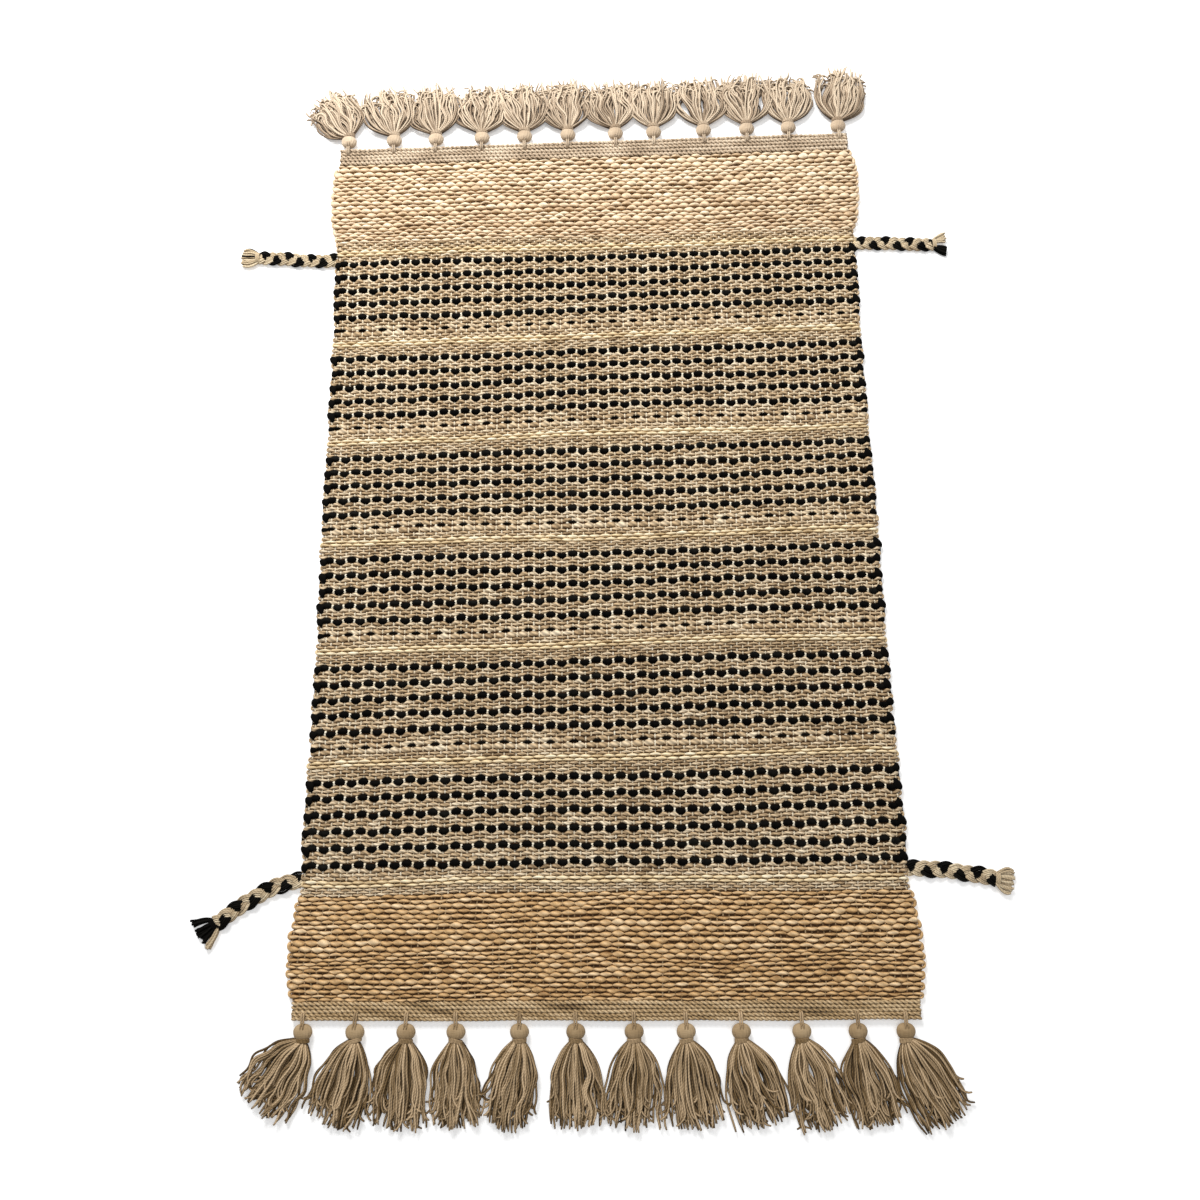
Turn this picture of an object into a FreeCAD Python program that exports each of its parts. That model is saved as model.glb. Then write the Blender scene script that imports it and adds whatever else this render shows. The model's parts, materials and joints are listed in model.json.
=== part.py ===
import FreeCAD, Part
import math
import os

# A hand-woven runner rug with tassels at both ends and a plaited cord at each corner of its
# black-dotted field. Millimetres. +X is to the right, +Y to the far end, +Z up.
# The origin is on the floor, at the middle of the cloth's underside.
#
# One pick is one pass of weft yarn, from one long edge to the other. The weft goes over and
# under the warp threads, so a run of like picks is two strips: one above the warp, one below.

V = FreeCAD.Vector

# Picks, sizes along Y
BLACK_PICK = 6.6  # thick black cotton, the dotted rows
GROUND_PICK = 3.4  # beige cotton between two black rows
STRIPE_PICK = 3.0  # beige cotton beside a jute stripe
JUTE_STRIPE = 7.5  # two bright jute picks
BLOCKS = 6
ROWS = 6  # black rows in a block
GROUND_PICKS = 3  # between two black rows
PICKS_BEFORE_STRIPE = 3
PICKS_AFTER_STRIPE = 4
FIRST_EDGE_PICKS = (3, 2.25)  # beige picks either side of the far end's stripe
LAST_EDGE_PICKS = (3.5, 2.8)  # beige picks either side of the near end's stripe

# Plain zones at the ends, sizes along Y
HEADER_FAR = 22.0
HEADER_NEAR = 17.5
BAND_FAR = 108.0
BAND_NEAR = 100.0
HEADER_CORDS = 3  # twined cords in a header
BAND_STRIPS = 4  # groups of jute picks in a band

# Outline
WAIST_HALF_WIDTH = 298.0
END_HALF_WIDTH = 304.0
BAND_BULGE = 7.0  # how far a jute band swells past its corners, each side
FAR_RISE = 0.026  # how far a pick at the far end climbs per mm from left to right
RISE_LOSS = 1.45  # the share of that climb lost at the near end, so those picks fall

# Heights
UNDER = 2.7  # weft below the warp
WARP = 1.6  # the warp threads' height
THICKNESS = {
    "header": 8.0,
    "jute_band": 6.8,
    "jute_stripe": 7.2,
    "ground_weft": 6.6,
    "black_weft": 7.6,
}

# Warp
WARP_THREADS = 101
WARP_PITCH = 5.92
WARP_WIDTH = 1.8

# The black yarn is carried up the long edge from one row to the next
CARRY_WIDTH = 3.6
CARRY_HEIGHTS = (1.2, 6.0)

# Tassels. They are tied on by hand, so their places and their lean are uneven.
TASSEL_X = {
    "far": (-294, -240, -190, -135, -84, -32, 25, 71, 131, 183, 233, 293),
    "near": (-292, -242, -193, -145, -84, -30, 26, 76, 129, 187, 241, 287),
}
TASSEL_LEAN = {
    "far": (-36, -16, -8, 0, -6, -10, -8, 0, 0, 0, 2, 14),
    "near": (-42, -20, -9, 2, -14, 1, -5, 10, 20, 22, 18, 38),
}
TASSEL_LENGTH = {"far": 88.0, "near": 96.0}  # from the edge of the header to the tips
SKIRT_MOST_WIDTH = 56.0
SKIRT_GAP = 2.5  # clear space between two skirts
SKIRT_HEIGHTS = (9.0, 13.0, 8.0)  # at the neck, the middle and the tips
SKIRT_LIFT = 0.2  # under the middle of a skirt
HEAD_WIDTH, HEAD_LENGTH, HEAD_HEIGHT = 18.0, 15.0, 11.0
HEAD_OUT = 0.55  # from the hinge's line to the head
HEAD_STATIONS = (-0.96, -0.8, -0.4, 0.0, 0.4, 0.76)  # along the head, from its middle
NECK_WIDTH, NECK_LENGTH, NECK_HEIGHT = 13.0, 3.6, 9.6

# The loop that a tassel hangs on, and the eye at the top of the tassel's head
LOOP_CORD = 1.6
LOOP_LEG_X = 1.9  # from the loop's middle to a leg's middle
LOOP_LEG_IN = 9.0  # how far a leg lies on the header
HINGE_OUT = 2.8  # from the header's edge to the loop's round end
EYE_HOLE_RADIUS = 1.15
EYE_RADIUS = 2.3
EYE_WIDTH = 1.8

# Plaited cords, flat, of three strands. Each route is its bend points from the long edge
# out: (distance out from the edge, Y).
BRAID_WIDTH = 14.5
BRAID_HEIGHT = 7.0
BRAID_GAP = 0.9  # between the plait's root and the cloth
BRAID_LIFT = 0.2  # under the plait
ARC_SHARE = 0.45  # of the shorter run, that a bend's arc takes
BRAID_ROUTES = {
    "far_left": ((0, 336.5), (22, 335.5), (45, 337.5), (68, 340.0), (90, 340.5)),
    "far_right": ((0, 351.0), (23, 351.0), (46, 350.0), (69, 348.5), (91, 348.5)),
    "near_left": ((0, -358.0), (16, -359.5), (36, -368.0), (59, -381.5), (82, -398.0)),
    "near_right": ((0, -354.0), (21, -354.5), (43, -357.0), (66, -360.5), (87.5, -365.0)),
}
TIE_LENGTH = 4.0
TIE_WIDTH, TIE_HEIGHT = 13.0, 8.0
TUFT_LENGTH = 18.0
TUFT_ROOT_WIDTH, TUFT_TIP_WIDTH = 11.0, 25.0
TUFT_HEIGHTS = (7.0, 6.0)


def stripe(before, after):
    """A jute stripe with the beige picks either side of it, as kinds and lengths."""
    return [
        ("ground_weft", before * STRIPE_PICK),
        ("jute_stripe", JUTE_STRIPE),
        ("ground_weft", after * STRIPE_PICK),
    ]


def block_of_rows():
    """One block: black rows with beige picks between them."""
    rows = [("black_weft", BLACK_PICK)]
    for _ in range(ROWS - 1):
        rows += [("ground_weft", GROUND_PICKS * GROUND_PICK), ("black_weft", BLACK_PICK)]
    return rows


def cloth_zones():
    """Every zone of the cloth from the far end to the near end: (node, kind, length)."""
    zones = [("header_far", "header", HEADER_FAR / HEADER_CORDS)] * HEADER_CORDS
    zones += [("jute_band_far", "jute_band", BAND_FAR / BAND_STRIPS)] * BAND_STRIPS
    stripes = [stripe(*FIRST_EDGE_PICKS)]
    stripes += [stripe(PICKS_BEFORE_STRIPE, PICKS_AFTER_STRIPE)] * (BLOCKS - 1)
    stripes += [stripe(*LAST_EDGE_PICKS)]
    for i in range(BLOCKS + 1):
        before, jute, after = stripes[i]
        zones.append((f"ground_weft_{max(i, 1)}", *before))
        zones.append((f"jute_stripe_{i + 1}", *jute))
        zones.append((f"ground_weft_{min(i + 1, BLOCKS)}", *after))
        if i < BLOCKS:
            zones += [(f"{kind}_{i + 1}", kind, size) for kind, size in block_of_rows()]
    zones += [("jute_band_near", "jute_band", BAND_NEAR / BAND_STRIPS)] * BAND_STRIPS
    zones += [("header_near", "header", HEADER_NEAR / HEADER_CORDS)] * HEADER_CORDS
    return zones


ZONES = cloth_zones()
LENGTH = sum(size for _, _, size in ZONES)
FAR_EDGE = LENGTH / 2
NEAR_EDGE = -LENGTH / 2
EDGE = {"far": FAR_EDGE, "near": NEAR_EDGE}
OUTWARD = {"far": 1, "near": -1}
LOOP_Z = THICKNESS["header"] + LOOP_CORD / 2


def rise(y):
    """How far the pick at level y climbs per mm from left to right."""
    return FAR_RISE * (1 - RISE_LOSS * ((FAR_EDGE - y) / LENGTH) ** 3)


def half_width(y):
    """Half the cloth's width at level y: a gentle waist in the middle."""
    return WAIST_HALF_WIDTH + (END_HALF_WIDTH - WAIST_HALF_WIDTH) * (y / FAR_EDGE) ** 2


def band_swell(y):
    """How far a jute band's edge stands out past the gentle waist at level y."""
    for low, high in (
        (NEAR_EDGE + HEADER_NEAR, NEAR_EDGE + HEADER_NEAR + BAND_NEAR),
        (FAR_EDGE - HEADER_FAR - BAND_FAR, FAR_EDGE - HEADER_FAR),
    ):
        if low < y < high:
            return BAND_BULGE * math.sin(math.pi * (y - low) / (high - low)) ** 0.5
    return 0.0


def at(x, y, z=0.0):
    """The point of the pick at level y that is x from the middle."""
    return V(x, y + rise(y) * x, z)


def corner(side, y, z):
    """The end of the pick at level y, on the left (-1) or right (1) long edge."""
    return at(side * (half_width(y) + band_swell(y)), y, z)


def strip(low_y, high_y, low_z, high_z):
    """A run of picks from edge to edge."""
    outline = [
        corner(-1, low_y, low_z),
        corner(1, low_y, low_z),
        corner(1, high_y, low_z),
        corner(-1, high_y, low_z),
    ]
    face = Part.Face(Part.makePolygon(outline + outline[:1]))
    return face.extrude(V(0, 0, high_z - low_z))


def carry(side, high_y, low_y):
    """The black yarn outside the long edge, between the middles of two rows."""
    low_z, high_z = CARRY_HEIGHTS
    inner = [corner(side, high_y, low_z), corner(side, low_y, low_z)]
    out = V(side * CARRY_WIDTH, 0, 0)
    outline = inner + [inner[1] + out, inner[0] + out]
    face = Part.Face(Part.makePolygon(outline + outline[:1]))
    return face.extrude(V(0, 0, high_z - low_z))


def make_weft():
    """All the weft: the strips of each zone, and the black yarn's carries."""
    nodes = {}
    y = FAR_EDGE
    rows = {}
    for node, kind, size in ZONES:
        pieces = nodes.setdefault(node, [])
        pieces.append(strip(y - size, y, 0, UNDER))
        pieces.append(strip(y - size, y, UNDER + WARP, THICKNESS[kind]))
        if kind == "black_weft":
            rows.setdefault(node, []).append(y - size / 2)
        y -= size
    for node, middles in rows.items():
        for i in range(len(middles) - 1):
            side = -1 if i % 2 else 1
            nodes[node].append(carry(side, middles[i], middles[i + 1]))
    return nodes


def make_warp():
    """The warp threads, side by side, from header to header."""
    threads = []
    for i in range(WARP_THREADS):
        x = (i - (WARP_THREADS - 1) / 2) * WARP_PITCH
        near, far = at(x, NEAR_EDGE).y, at(x, FAR_EDGE).y
        inset = WARP_WIDTH / 2 * FAR_RISE  # keeps a thread's corner inside the slanting end
        corner_point = V(x - WARP_WIDTH / 2, near + inset, UNDER)
        threads.append(Part.makeBox(WARP_WIDTH, far - near - 2 * inset, WARP, corner_point))
    return threads


def tassel_root(end, x):
    """The point on the loop's round end that a tassel turns about."""
    edge = at(x, EDGE[end])
    return V(x, edge.y + OUTWARD[end] * HINGE_OUT, LOOP_Z)


def make_loop(end, x):
    """A cord loop: two legs sewn on the header and a round end past its edge."""
    root, out = tassel_root(end, x), OUTWARD[end]
    reach = HINGE_OUT + LOOP_LEG_IN
    legs = []
    for side in (-1, 1):
        foot = root + V(side * LOOP_LEG_X, -out * reach, 0)
        legs.append(Part.makeCylinder(LOOP_CORD / 2, reach, foot, V(0, out, 0)))
        legs.append(Part.makeSphere(LOOP_CORD / 2, root + V(side * LOOP_LEG_X, 0, 0)))
    start = root - V(LOOP_LEG_X, 0, 0)
    bar = Part.makeCylinder(LOOP_CORD / 2, 2 * LOOP_LEG_X, start, V(1, 0, 0))
    return bar.fuse(legs).removeSplitter()


def oval(x, y, z, width, height):
    """An upright oval outline across the tassel at level y."""
    long_axis, short_axis = max(width, height) / 2, min(width, height) / 2
    ellipse = Part.Ellipse(V(0, 0, 0), long_axis, short_axis)
    wire = Part.Wire(ellipse.toShape())
    wire.rotate(V(0, 0, 0), V(1, 0, 0), 90)
    wire.translate(V(x, y, z))
    return wire


def skirt_width(end, index):
    """A skirt's width at its tips: as wide as its neighbours leave it."""
    tips = [x + lean for x, lean in zip(TASSEL_X[end], TASSEL_LEAN[end])]
    gaps = [abs(tips[index] - tips[i]) for i in (index - 1, index + 1) if 0 <= i < len(tips)]
    return min(min(gaps) - SKIRT_GAP, SKIRT_MOST_WIDTH)


def make_head(root, centre, out):
    """A tassel's oval head, down to its neck, with the eye that the loop goes through."""
    sections = []
    for share in HEAD_STATIONS:
        fullness = math.sqrt(1 - share**2)
        y = centre.y + out * share * HEAD_LENGTH / 2
        sections.append(oval(centre.x, y, centre.z, fullness * HEAD_WIDTH, fullness * HEAD_HEIGHT))
    start = root - V(EYE_WIDTH / 2, 0, 0)
    eye = Part.makeCylinder(EYE_RADIUS, EYE_WIDTH, start, V(1, 0, 0))
    hole = Part.makeCylinder(EYE_HOLE_RADIUS, EYE_WIDTH, start, V(1, 0, 0))
    return Part.makeLoft(sections, True).fuse(eye).cut(hole)


def make_tassel(end, index):
    """One tassel lying straight out from the header: eye, head, neck wrap and skirt."""
    x, out = TASSEL_X[end][index], OUTWARD[end]
    root = tassel_root(end, x)
    head_y = root.y + out * (HEAD_OUT + HEAD_LENGTH / 2)
    neck_y = head_y + out * HEAD_STATIONS[-1] * HEAD_LENGTH / 2
    neck_z = HEAD_HEIGHT / 2
    head = make_head(root, V(x, head_y, neck_z), out)
    ends_of_neck = [neck_y, neck_y + out * NECK_LENGTH]
    neck_ovals = [oval(x, y, neck_z, NECK_WIDTH, NECK_HEIGHT) for y in ends_of_neck]
    neck = Part.makeLoft(neck_ovals, True, True)
    tips_y = at(x, EDGE[end]).y + out * TASSEL_LENGTH[end]
    lean, width = TASSEL_LEAN[end][index], skirt_width(end, index)
    at_neck, at_middle, at_tips = SKIRT_HEIGHTS
    middle_y = (ends_of_neck[1] + tips_y) / 2
    skirt = Part.makeLoft(
        [
            oval(x, ends_of_neck[1], neck_z, NECK_WIDTH, at_neck),
            oval(x + lean / 2, middle_y, at_middle / 2 + SKIRT_LIFT, 0.7 * width, at_middle),
            oval(x + lean, tips_y, at_tips / 2, width, at_tips),
        ],
        True,
    )
    return [head, neck, skirt]


def braid_path(points):
    """Straight runs joined by tangent arcs, with each arc as large as its runs allow."""
    edges, radii = [], []
    start = points[0]
    for before, bend, after in zip(points, points[1:], points[2:]):
        into, away = bend - before, after - bend
        turn = into.getAngle(away)
        cut = ARC_SHARE * min(into.Length, away.Length)
        radii.append(cut / math.tan(turn / 2))
        into.normalize()
        away.normalize()
        first, last = bend - into * cut, bend + away * cut
        inward = (away - into).normalize()
        middle = bend + inward * (radii[-1] / math.cos(turn / 2) - radii[-1])
        edges.append(Part.LineSegment(start, first).toShape())
        edges.append(Part.Arc(first, middle, last).toShape())
        start = last
    edges.append(Part.LineSegment(start, points[-1]).toShape())
    return Part.Wire(edges), radii


def rounded_section(centre, across, width, height):
    """A flat section with round sides, upright across a plait or a tuft."""
    straight, radius = (width - height) / 2, height / 2
    up, side = V(0, 0, radius), across * straight
    bulge = across * (straight + radius)
    edges = [
        Part.LineSegment(centre - side + up, centre + side + up).toShape(),
        Part.Arc(centre + side + up, centre + bulge, centre + side - up).toShape(),
        Part.LineSegment(centre + side - up, centre - side - up).toShape(),
        Part.Arc(centre - side - up, centre - bulge, centre - side + up).toShape(),
    ]
    return Part.Wire(edges)


def route_points(corner_name):
    """A plait's bend points in the rug's frame."""
    side = 1 if corner_name.endswith("right") else -1
    z = BRAID_LIFT + BRAID_HEIGHT / 2
    root_x = half_width(BRAID_ROUTES[corner_name][0][1]) + BRAID_GAP
    return [V(side * (root_x + out), y, z) for out, y in BRAID_ROUTES[corner_name]]


def make_braid(corner_name):
    """The plait along its route."""
    points = route_points(corner_name)
    path, radii = braid_path(points)
    start = (points[1] - points[0]).normalize()
    across = start.cross(V(0, 0, 1))
    section = rounded_section(points[0], across, BRAID_WIDTH, BRAID_HEIGHT)
    sweep = Part.BRepOffsetAPI.MakePipeShell(path)
    sweep.setBiNormalMode(V(0, 0, 1))
    sweep.add(section)
    sweep.build()
    sweep.makeSolid()
    solid = sweep.shape()
    share = solid.Volume / (Part.Face(section).Area * path.Length)
    print(f"braid_{corner_name}: {path.Length:.1f} mm, radii", [round(r) for r in radii])
    print(f"  volume over section times length: {share:.3f}")
    return [solid]


def make_tuft(corner_name):
    """What ends a plait: the tie round its strands, and their loose ends."""
    points = route_points(corner_name)
    end = points[-1]
    ahead = (end - points[-2]).normalize()
    across = ahead.cross(V(0, 0, 1))
    low = V(end.x, end.y, 0)
    near = low + V(0, 0, TIE_HEIGHT / 2)
    tie_wires = [rounded_section(near + ahead * d, across, TIE_WIDTH, TIE_HEIGHT) for d in (0, TIE_LENGTH)]
    tie = Part.makeLoft(tie_wires, True, True)
    root_height, tip_height = TUFT_HEIGHTS
    root = low + ahead * TIE_LENGTH + V(0, 0, TIE_HEIGHT / 2)
    tip = low + ahead * (TIE_LENGTH + TUFT_LENGTH) + V(0, 0, tip_height / 2)
    fan = Part.makeLoft(
        [
            rounded_section(root, across, TUFT_ROOT_WIDTH, root_height),
            rounded_section(tip, across, TUFT_TIP_WIDTH, tip_height),
        ],
        True,
        True,
    )
    return [tie, fan]


def make_nodes():
    """Every node's solids, by the node's name."""
    nodes = make_weft()
    nodes["warp_threads"] = make_warp()
    for end, places in TASSEL_X.items():
        nodes[f"tassel_loops_{end}"] = [make_loop(end, x) for x in places]
        for i in range(len(places)):
            nodes[f"tassel_{end}_{i + 1:02d}"] = make_tassel(end, i)
    for corner_name in BRAID_ROUTES:
        nodes[f"braid_{corner_name}"] = make_braid(corner_name)
        nodes[f"tuft_{corner_name}"] = make_tuft(corner_name)
    return nodes


os.makedirs("parts", exist_ok=True)
for node_name, solids in make_nodes().items():
    for solid in solids:
        if not solid.isValid() or solid.Volume <= 0:
            print("not a good solid:", node_name, solid.Volume)
    Part.makeCompound(solids).exportStep(f"parts/{node_name}.step")
print(f"cloth {2 * END_HALF_WIDTH:.0f} x {LENGTH:.1f} mm")
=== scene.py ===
import json
import math

import bpy
import numpy as np
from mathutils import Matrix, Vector


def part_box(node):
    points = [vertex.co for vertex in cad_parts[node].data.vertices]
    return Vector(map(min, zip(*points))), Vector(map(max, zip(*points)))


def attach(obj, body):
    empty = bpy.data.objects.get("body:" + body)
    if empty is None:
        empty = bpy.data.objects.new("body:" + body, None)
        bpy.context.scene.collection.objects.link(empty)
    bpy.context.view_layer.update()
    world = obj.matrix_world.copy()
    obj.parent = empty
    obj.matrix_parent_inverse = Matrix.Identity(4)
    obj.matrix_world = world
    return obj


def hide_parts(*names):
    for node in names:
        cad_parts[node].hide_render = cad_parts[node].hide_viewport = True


# A hand-woven runner rug, yarn by yarn. Lengths are millimetres, as in the CAD source, except for
# the floor and the lights.
MM = 0.001
FLOOR_GAP = 0.05  # nothing goes lower than this
TURN = 2 * math.pi

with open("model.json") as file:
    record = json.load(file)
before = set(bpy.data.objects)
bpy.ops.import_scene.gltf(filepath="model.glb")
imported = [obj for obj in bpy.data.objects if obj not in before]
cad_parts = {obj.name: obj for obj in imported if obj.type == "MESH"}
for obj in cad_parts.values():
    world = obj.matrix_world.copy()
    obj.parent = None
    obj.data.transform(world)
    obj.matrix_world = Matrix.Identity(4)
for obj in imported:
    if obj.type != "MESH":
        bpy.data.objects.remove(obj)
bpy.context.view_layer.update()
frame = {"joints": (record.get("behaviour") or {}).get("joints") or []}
rng = np.random.default_rng(618)


def add_object(name, data):
    thing = bpy.data.objects.new(name, data)
    bpy.context.scene.collection.objects.link(thing)
    return thing


def unit(vectors):
    """The same directions, each 1 long."""
    return vectors / (np.linalg.norm(vectors, axis=-1, keepdims=True) + 1e-9)


def running_total(values):
    """The sums of the first 0, 1, 2 ... values."""
    return np.concatenate([[0], np.cumsum(values)])


def step_lengths(line):
    return np.linalg.norm(np.diff(line, axis=0), axis=1)


# -------- camera

CAMERA_PLACE = (-4.4, -330.0, 1037.0)
CAMERA_TILT = 13.9  # degrees from straight down, towards +Y
CAMERA_TURN = -0.0133  # radians about Z
CAMERA_LENS = 30.0
CAMERA_SENSOR = 36.0


def make_camera():
    data = bpy.data.cameras.new("camera")
    data.lens = CAMERA_LENS
    data.sensor_width = CAMERA_SENSOR
    camera = add_object("camera", data)
    camera.location = Vector(CAMERA_PLACE) * MM
    camera.rotation_euler = (math.radians(CAMERA_TILT), 0, CAMERA_TURN)
    bpy.context.scene.camera = camera


make_camera()


# -------- layout, as in the CAD source

BLOCKS = 6
ROWS = 6
BLACK_PICK = 6.6
GROUND_PICK = 3.4
STRIPE_PICK = 3.0
JUTE_STRIPE_PICK = 3.75
GROUND_PICKS = 3  # between two black rows
HEADER_ROWS = 5
HEADER_ROW = {"far": 4.4, "near": 3.5}
BAND_PICKS = 22
BAND_SIZE = {"far": 108.0, "near": 100.0}
BAND_BULGE = 7.0
BAND_BULGE_POWER = 0.7  # under 1, the swell starts and ends abruptly
WAIST_HALF_WIDTH = 298.0
END_HALF_WIDTH = 304.0
FAR_RISE = 0.026  # how far a pick at the far end climbs per mm from left to right
RISE_LOSS = 1.45  # the share of that climb lost at the near end
WARP_THREADS = 101
WARP_PITCH = 5.92
WARP_REACH = WARP_THREADS * WARP_PITCH / 2


def box_mm(node):
    low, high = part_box(node)
    return np.array(low) / MM, np.array(high) / MM


FAR_CORNER = box_mm("header_far")[1]
FAR_EDGE = FAR_CORNER[1] - FAR_RISE * FAR_CORNER[0]
NEAR_EDGE = -FAR_EDGE
LENGTH = 2 * FAR_EDGE
BAND_SPANS = (
    (NEAR_EDGE + HEADER_ROWS * HEADER_ROW["near"], BAND_SIZE["near"]),
    (FAR_EDGE - HEADER_ROWS * HEADER_ROW["far"] - BAND_SIZE["far"], BAND_SIZE["far"]),
)


def rise(y):
    """How far the pick at level y climbs per mm from left to right."""
    return FAR_RISE * (1 - RISE_LOSS * ((FAR_EDGE - y) / LENGTH) ** 3)


def waisted(y):
    """Half the cloth's width at level y without the jute bands' swell."""
    return WAIST_HALF_WIDTH + (END_HALF_WIDTH - WAIST_HALF_WIDTH) * (np.asarray(y) / FAR_EDGE) ** 2


def half_width(y):
    width = waisted(y)
    for low, size in BAND_SPANS:
        inside = np.clip((y - low) / size, 0, 1)
        width = width + BAND_BULGE * np.sin(math.pi * inside).clip(0) ** BAND_BULGE_POWER
    return width


class SmoothNoise:
    """A gentle random field over the cloth, about 0 on average and 1 in size."""

    def __init__(self, scale_x, scale_y, terms=12):
        self.kx = rng.normal(0, 1, terms) / scale_x
        self.ky = rng.normal(0, 1, terms) / scale_y
        self.phase = rng.uniform(0, TURN, terms)

    def __call__(self, x, y):
        x, y = np.broadcast_arrays(np.asarray(x, float), np.asarray(y, float))
        angle = self.kx * x[..., None] + self.ky * y[..., None] + self.phase
        return np.sin(angle).sum(-1) / math.sqrt(len(self.phase) / 2)


# -------- meshes of yarn

FLANK_BALANCE = 0.75  # keeps a yarn's mean tone about the same however much painted shade its flanks get
PATTERN_START = 50.0  # how far along its pattern a yarn may start


class Yarns:
    """Gathers closed tubes of yarn, then makes one mesh of them."""

    def __init__(self):
        self.points, self.loops, self.sizes = [], [], []
        self.uvs, self.tones, self.slots = [], [], []
        self.count = 0

    def add(self, line, half_w, half_h, tone=0.5, sides=8, up=(0, 0, 1), slot=0, recess=0.0):
        """A tube along line: half_w beside it and half_h above it, at each point. The last argument is how
        much darker its flanks are painted than its top and underside: painted shade between the yarns."""
        line = np.asarray(line, float)
        n = len(line)
        half_w = np.broadcast_to(np.asarray(half_w, float), n)
        half_h = np.broadcast_to(np.asarray(half_h, float), n)
        tone = np.broadcast_to(np.asarray(tone, float), n)
        ahead = unit(np.gradient(line, axis=0))
        side = unit(np.cross(ahead, np.asarray(up, float)))
        top = np.cross(side, ahead)
        angle = TURN * np.arange(sides) / sides
        c, s = np.cos(angle), np.sin(angle)
        ring = line[:, None] + side[:, None] * (half_w[:, None] * c)[..., None]
        ring = ring + top[:, None] * (half_h[:, None] * s)[..., None]
        self.points.append(ring.reshape(-1, 3))
        # painted shade: the flanks darker, the top and underside lighter
        flank = recess * (np.abs(np.sin(angle)) - FLANK_BALANCE)
        self.tones.append((tone[:, None] + flank).ravel())
        i, j = np.meshgrid(np.arange(n - 1), np.arange(sides), indexing="ij")
        k = (j + 1) % sides
        quads = np.stack([i * sides + j, (i + 1) * sides + j, (i + 1) * sides + k, i * sides + k], -1)
        along = running_total(step_lengths(line)) + rng.uniform(0, PATTERN_START)
        u = np.stack([along[i], along[i + 1], along[i + 1], along[i]], -1)
        v = np.stack([j, j, j + 1, j + 1], -1) / sides
        start = self.count + np.arange(sides)
        end = start[::-1] + (n - 1) * sides
        self.loops += [quads.reshape(-1) + self.count, start, end]
        self.sizes.append(np.concatenate([np.full((n - 1) * sides, 4), [sides, sides]]))
        turn = np.arange(sides) / sides
        cap_start = np.stack([np.full(sides, along[0]), turn], -1)
        cap_end = np.stack([np.full(sides, along[-1]), turn[::-1]], -1)
        self.uvs += [np.stack([u, v], -1).reshape(-1, 2), cap_start, cap_end]
        self.slots.append(np.full((n - 1) * sides + 2, slot))
        self.count += n * sides

    def make(self, name, materials, body, nodes, slot, shape=None):
        """The mesh object, riding on its body. shape is applied to all its points first."""
        points = np.concatenate(self.points)
        if shape is not None:
            points = shape(points)
        points[:, 2] = points[:, 2].clip(FLOOR_GAP)
        loops, sizes = np.concatenate(self.loops), np.concatenate(self.sizes)
        mesh = bpy.data.meshes.new(name)
        mesh.vertices.add(len(points))
        mesh.vertices.foreach_set("co", (points * MM).astype(np.float32).ravel())
        mesh.loops.add(len(loops))
        mesh.loops.foreach_set("vertex_index", loops.astype(np.int32))
        mesh.polygons.add(len(sizes))
        starts = running_total(sizes[:-1])
        mesh.polygons.foreach_set("loop_start", starts.astype(np.int32))
        mesh.update(calc_edges=True)
        mesh.polygons.foreach_set("use_smooth", np.ones(len(sizes), bool))
        mesh.polygons.foreach_set("material_index", np.concatenate(self.slots).astype(np.int32))
        layer = mesh.uv_layers.new(name="yarn")
        layer.data.foreach_set("uv", np.concatenate(self.uvs).astype(np.float32).ravel())
        tone = mesh.attributes.new("tone", "FLOAT", "POINT")
        tone.data.foreach_set("value", np.concatenate(self.tones).astype(np.float32))
        for material in materials:
            mesh.materials.append(material)
        piece = add_object(name, mesh)
        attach(piece, body)
        if nodes:
            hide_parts(*nodes)
        return piece


# -------- materials

FIBRE_STRETCH = (1.6, 9.0, 1.0)  # makes the noise run along the yarn, as fibres do
FIBRE_RELIEF = 0.6  # next to 1 for the plies
BLOTCH_SCALE = 70.0
BUMP_DISTANCE = 0.0004
ROUGHNESS_RANGE = 0.25
ROUGHNESS_DROP = 0.12  # about half the range
SHEEN_ROUGHNESS = 0.5


def new_node(tree, kind, inputs=(), **settings):
    node = tree.nodes.new(kind)
    for name, value in settings.items():
        setattr(node, name, value)
    for key, value in dict(inputs).items():
        if isinstance(value, bpy.types.NodeSocket):
            tree.links.new(value, node.inputs[key])
        else:
            node.inputs[key].default_value = value
    return node


def math_node(tree, operation, a, b=0.0, c=0.0):
    return new_node(tree, "ShaderNodeMath", {0: a, 1: b, 2: c}, operation=operation).outputs[0]


def ply_pattern(tree, lay, plies):
    """Waves that wind round the yarn: 1 on the crown of a ply, 0 in the groove."""
    yarn = new_node(tree, "ShaderNodeUVMap", uv_map="yarn").outputs[0]
    split = new_node(tree, "ShaderNodeSeparateXYZ", {0: yarn})
    turns = math_node(tree, "MULTIPLY", split.outputs[0], TURN / lay)
    around = math_node(tree, "MULTIPLY_ADD", split.outputs[1], TURN * plies, turns)
    wave = math_node(tree, "SINE", around)
    return math_node(tree, "MULTIPLY_ADD", wave, 0.5, 0.5), yarn


def noise_node(tree, place, scale, detail):
    inputs = {"Vector": place, "Scale": scale, "Detail": detail}
    return new_node(tree, "ShaderNodeTexNoise", inputs).outputs[0]


def add_noise(tree, noise, size, shade):
    """The shade, lighter or darker by up to half the size."""
    centred = math_node(tree, "SUBTRACT", noise, 0.5)
    return math_node(tree, "MULTIPLY_ADD", centred, size, shade)


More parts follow.
